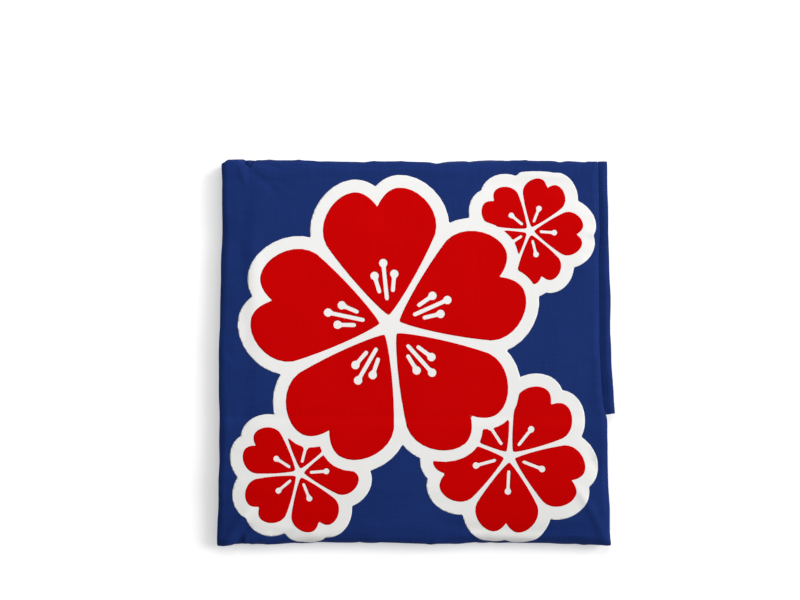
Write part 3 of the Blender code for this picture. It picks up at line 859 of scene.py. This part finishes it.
# Start and end of each run, in mm: as the belt is folded by hand, no two lie quite over each other.
BELT_ENDS = MM * np.array([
    (-101.6, 97.2), (98.9, -101.6), (-100.4, 98.9), (97.6, -100.4), (-102.2, 97.6), (98.4, -102.2)])
BELT_LEVELS = MM * (6.78 + 0.4 * np.arange(len(BELT_ENDS)))

BLACK_TWILL = woven("black_twill", (0.0085, 0.0085, 0.0095), (0.016, 0.016, 0.018), 0.72, 0.15, 0.9,
                    pitch=0.6 * MM, sheen_tint=(0.8, 0.85, 1.0, 1.0))

belt_path = to_and_fro(BELT_ENDS, BELT_LEVELS, 40)
belt_y = np.linspace(BELT_LOW_Y, BELT_HIGH_Y, 15)[None, :]
belt_x, belt_z = belt_path[:, :1], belt_path[:, 1:2]
belt_sway = BELT_SWAY * np.sin(belt_x / (30 * MM)) * np.sin(belt_z / (0.4 * MM))
belt_points = np.stack([belt_x + 0 * belt_y, belt_y + belt_sway, belt_z + 0 * belt_y], axis=-1)
belt = cloth("belt_cloth", belt_points, BLACK_TWILL, wall=BELT_WALL)
belt.modifiers["wall"].offset = 0.0
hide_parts("belt")


# --------------------
# The collar, a band of black twill folded double and sewn in under the edge of the neck. It stands towards
# the hem across the underside, folded along its free edge.

COLLAR_HALF_WIDTH = 61 * MM
COLLAR_STAND = 20.5 * MM
COLLAR_SEWN_UNDER = 8 * MM
COLLAR_LOW, COLLAR_HIGH = 1.42 * MM, 2.72 * MM
COLLAR_WALL = 0.35 * MM
# Its mesh ends this share of the way out, just before its two edges would meet in a point.
COLLAR_ENDS = 0.995
PUCKER, PUCKER_RUN = 0.06 * MM, 2.1 * MM

collar_x = COLLAR_HALF_WIDTH * np.sin(np.linspace(-np.pi / 2, np.pi / 2, 90))[:, None] * COLLAR_ENDS
collar_across = stretch((0, 1, 18), (1, 2, 6), (2, 3, 18))[None, :]
collar_stage = np.clip(np.floor(collar_across), 0, 2)
collar_t = collar_across - collar_stage
collar_radius = (COLLAR_HIGH - COLLAR_LOW) / 2
out_along = collar_x / COLLAR_HALF_WIDTH
free = SHOULDER_END_Y - COLLAR_STAND * (1 - out_along ** 4) + collar_radius
sewn = SHOULDER_END_Y + NECK_DROP * (1 - out_along ** 2) + COLLAR_SEWN_UNDER
collar_y = by_stage(collar_stage, [
    mix(sewn, free, collar_t), free - collar_radius * np.sin(np.pi * collar_t), mix(free, sewn, collar_t)])
collar_z = by_stage(collar_stage, [
    COLLAR_LOW, COLLAR_LOW + collar_radius * (1 - np.cos(np.pi * collar_t)), COLLAR_HIGH])
across_band = np.clip((collar_y - free) / (sewn - free), 0, 1)
pucker = PUCKER * np.sin(collar_x / PUCKER_RUN) * np.sin(np.pi * across_band)
collar_points = np.stack([collar_x + 0 * collar_y, collar_y, collar_z + pucker], axis=-1)
collar = cloth("collar_cloth", collar_points, BLACK_TWILL, wall=COLLAR_WALL)
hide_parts("collar")


# --------------------
# The stitching: lockstitch in thread of the cloth's own colour. One row holds the collar along the edge of
# the neck, and one the hem of each sleeve, seen where the sleeve's fold stands out.

STITCH, STITCH_GAP = 2.2 * MM, 0.6 * MM
STITCH_HALF_WIDTH, STITCH_PROUD = 0.16 * MM, 0.02 * MM
NECK_ROW_ENDS = 60 * MM
# The hem's row is this far in from it, on a face this long, and goes a little way round the sleeve's fold.
HEM_STITCH_IN, FACE_LENGTH = 8 * MM, 197.5 * MM
HEM_ROW = (0.90, 2.10)

THREAD = woven("blue_thread", (0.011, 0.03, 0.14), (0.016, 0.042, 0.18), 0.5, 0.1, 0.2)


def part_way(place, lengths, values):
    """Three values at a place along their line."""
    return np.array([np.interp(place, lengths, values[:, i]) for i in range(3)])


def stitch_row(bm, points, normals):
    """Stitches along a line on the cloth, each a small bead that sinks in at its ends."""
    lengths = so_far(np.linalg.norm(np.diff(points, axis=0), axis=1))
    for start in np.arange(0.0, lengths[-1] - STITCH, STITCH + STITCH_GAP):
        first, middle, last = (part_way(start + way, lengths, points) for way in (0, STITCH / 2, STITCH))
        normal = Vector(part_way(start + STITCH / 2, lengths, normals)).normalized()
        along = Vector(last - first).normalized()
        aside = normal.cross(along)
        turn = Matrix((along * STITCH / 2, aside * STITCH_HALF_WIDTH, normal * STITCH_HALF_WIDTH))
        place = Matrix.Translation(Vector(middle) + normal * STITCH_PROUD) @ turn.transposed().to_4x4()
        bmesh.ops.create_uvsphere(bm, u_segments=8, v_segments=6, radius=1.0, matrix=place)


bm = bmesh.new()
neck_x = np.linspace(-NECK_ROW_ENDS, NECK_ROW_ENDS, 160)
neck_y = neck_edge(neck_x) + NECK_STITCH_IN
neck_line = np.stack([neck_x, neck_y, under_relief(neck_x, neck_y)], axis=-1)
stitch_row(bm, neck_line, np.tile((0.0, 0.0, -1.0), (len(neck_x), 1)))
for side, column in ((LEFT_SIDE, SLEEVE_LEFT), (RIGHT_SIDE, SLEEVE_RIGHT)):
    hem_path = np.full((1, 1), HEM + HEM_STITCH_IN / FACE_LENGTH)
    hem_level = level_at(hem_path)
    hem_across = np.linspace(*HEM_ROW, 80)[None, :]
    edge = outline(column, hem_level)
    hem_x, hem_depth = one_side_section(
        hem_across, edge, SLEEVES_APART, SLEEVE_UPPER, SLEEVE_LOWER, side_form(hem_level))
    hem_line = strip_points(hem_x, hem_depth, hem_path)[0]
    hem_line[:, 2] += sleeve_relief(hem_x[0], hem_line[:, 1], hem_depth[0], edge[0])
    stitch_row(bm, hem_line, np.cross(np.gradient(hem_line, axis=0), (0.0, side * 1.0, 0.0)))
stitching = piece_of("stitching", bm, THREAD)


# --------------------
# The studio: a broad sun from the upper right, a weak lamp over the top edge, a pale sky and a white floor.
# The camera looks straight down, from a little towards the hem.

WHITE = (1.0, 1.0, 1.0, 1.0)
FLOOR_HALF_WIDTH, FLOOR_DROP, FLOOR_GLOW = 4.0, 0.3 * MM, 0.38
FLOOR_SHADE = (0.75, 0.75, 0.75, 1.0)
# The sky's strength, from its dark to its bright side, and which way the bright side is.
SKY_DARK, SKY_BRIGHT, SKY_WAY = 0.08, 0.64, (0.76, 0.30, -0.30)
KEY_STRENGTH, KEY_SPREAD, KEY_WAY = 2.25, math.radians(30), (-0.76, -0.24, -0.62)
TOP_STRENGTH, TOP_SIZE = 0.76, (0.3, 0.2)
TOP_PLACE, TOP_AIM = (0.02, 0.20, 0.38), (0.0, 0.05, 0.0)
# The camera looks at a point just over the face from this far away.
LENS, SENSOR, EYE_DISTANCE, EYE_TILT = 49.15, 36.0, 0.6, math.radians(3.3)
AIM_X, AIM_Y, AIM_Z = -0.00943, 0.02915, 0.012


def facing(way):
    """The turn of a light that shines that way."""
    return Vector(way).to_track_quat("-Z", "Y").to_euler()


bm = bmesh.new()
bmesh.ops.create_grid(bm, x_segments=1, y_segments=1, size=FLOOR_HALF_WIDTH)
bmesh.ops.translate(bm, verts=bm.verts[:], vec=(0.0, 0.0, -FLOOR_DROP))
floor_material = bpy.data.materials.new("white_floor")
floor_material.use_nodes = True
feed(floor_material.node_tree, floor_material.node_tree.nodes["Principled BSDF"], {
    "Base Color": FLOOR_SHADE, "Emission Color": WHITE, "Emission Strength": FLOOR_GLOW,
    "Roughness": 0.9, "Specular IOR Level": 0.1,
})
floor = shape_of("floor", bm, floor_material)

world = bpy.data.worlds.new("studio")
world.use_nodes = True
sky = world.node_tree
way = new_node(sky, "TexCoord", {}).outputs["Generated"]
from_dark = new_node(sky, "VectorMath", {0: way, 1: SKY_WAY}, operation="DOT_PRODUCT").outputs["Value"]
brightness = new_node(sky, "MapRange", {
    "Value": from_dark, "From Min": -1.0, "From Max": 1.0, "To Min": SKY_DARK, "To Max": SKY_BRIGHT})
# The camera sees a plain white backdrop.
seen = new_node(sky, "LightPath", {}).outputs["Is Camera Ray"]
backdrop = new_node(sky, "Mix", {"Factor": seen, "A": brightness.outputs["Result"], "B": 1.0})
feed(sky, sky.nodes["Background"], {"Color": WHITE, "Strength": backdrop.outputs["Result"]})
bpy.context.scene.world = world

sun = bpy.data.lights.new("key", "SUN")
sun.angle, sun.energy = KEY_SPREAD, KEY_STRENGTH
in_scene("key", sun).rotation_euler = facing(KEY_WAY)

lamp = bpy.data.lights.new("top_light", "AREA")
lamp.shape = "RECTANGLE"
lamp.size, lamp.size_y = TOP_SIZE
lamp.energy = TOP_STRENGTH
top_light = in_scene("top_light", lamp)
top_light.location = TOP_PLACE
top_light.rotation_euler = facing(Vector(TOP_AIM) - Vector(TOP_PLACE))
top_light.visible_camera = False

eye = bpy.data.cameras.new("camera")
eye.lens, eye.sensor_width, eye.clip_start = LENS, SENSOR, 0.01
camera = in_scene("camera", eye)
camera.location = (
    AIM_X, AIM_Y - EYE_DISTANCE * math.sin(EYE_TILT), AIM_Z + EYE_DISTANCE * math.cos(EYE_TILT))
camera.rotation_euler = (EYE_TILT, 0.0, 0.0)
bpy.context.scene.camera = camera
bpy.context.scene.view_settings.view_transform = "Standard"
